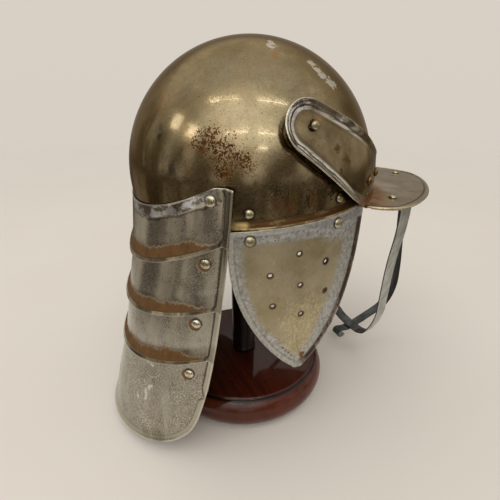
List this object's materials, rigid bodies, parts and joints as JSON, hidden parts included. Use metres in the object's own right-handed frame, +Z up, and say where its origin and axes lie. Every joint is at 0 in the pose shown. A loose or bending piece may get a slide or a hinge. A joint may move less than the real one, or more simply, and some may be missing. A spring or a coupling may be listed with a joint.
{
  "type": "lobster-tail pot helmet on display stand",
  "caption": "Round steel helmet with a hinged brow plate, peak and strap face guard, hung cheek plates and a riveted lamed neck guard, on a turned wooden display stand.",
  "frame": {"origin": "centre of the stand's round underside, on the table", "axes": "+Z up, the helmet faces -Y, +X is the helmet's left"},
  "size_m": [0.2434, 0.3769, 0.3627],
  "materials": {
    "nickelled_bowl": "tarnished nickel, rust speckled",
    "nickelled_visor": "brown tarnished nickel",
    "grey_strip": "dull grey steel",
    "worn_steel": "pitted and mottled, with brown rust bands",
    "brass_rivet": "worn domed heads",
    "black_leather": "dry black leather",
    "mahogany": "glossy stained mahogany",
    "black_wood": "glossy near-black stain"
  },
  "bodies": {
    "helmet_and_stand": {"cheek_plate_left": "worn_steel", "cheek_plate_right": "worn_steel", "cheek_rivet_left_front": "brass_rivet", "cheek_rivet_left_rear": "brass_rivet", "cheek_rivet_right_front": "brass_rivet", "cheek_rivet_right_rear": "brass_rivet", "cheek_tab_left_front": "black_leather", "cheek_tab_left_rear": "black_leather", "cheek_tab_right_front": "black_leather", "cheek_tab_right_rear": "black_leather", "neck_lame_1": "worn_steel", "neck_lame_2": "worn_steel", "neck_lame_3": "worn_steel", "neck_lame_4": "worn_steel", "pivot_pin_left": "brass_rivet", "pivot_pin_right": "brass_rivet", "skull": "nickelled_bowl", "skull_rivet_left_front": "brass_rivet", "skull_rivet_left_rear": "brass_rivet", "skull_rivet_right_front": "brass_rivet", "skull_rivet_right_rear": "brass_rivet", "stand_base": "mahogany", "stand_column": "black_wood", "tail_rivet_left_1": "brass_rivet", "tail_rivet_left_2": "brass_rivet", "tail_rivet_left_3": "brass_rivet", "tail_rivet_left_4": "brass_rivet", "tail_rivet_right_1": "brass_rivet", "tail_rivet_right_2": "brass_rivet", "tail_rivet_right_3": "brass_rivet", "tail_rivet_right_4": "brass_rivet"},
    "visor": {"brow_plate": "nickelled_visor", "brow_rivet_left_1": "brass_rivet", "brow_rivet_left_2": "brass_rivet", "brow_rivet_right_1": "brass_rivet", "brow_rivet_right_2": "brass_rivet", "centre_guard_strip": "grey_strip", "peak": "nickelled_visor", "peak_rivet_centre": "brass_rivet", "peak_rivet_left": "brass_rivet", "peak_rivet_right": "brass_rivet", "side_guard_strip": "grey_strip"}
  },
  "joints": [
    {"name": "visor_pivot", "type": "hinge", "parent": "helmet_and_stand", "child": "visor", "pos_m": [0, -0.00713, 0.29905], "axis": [-1, 0, 0], "range_deg": [0, 45]}
  ]
}
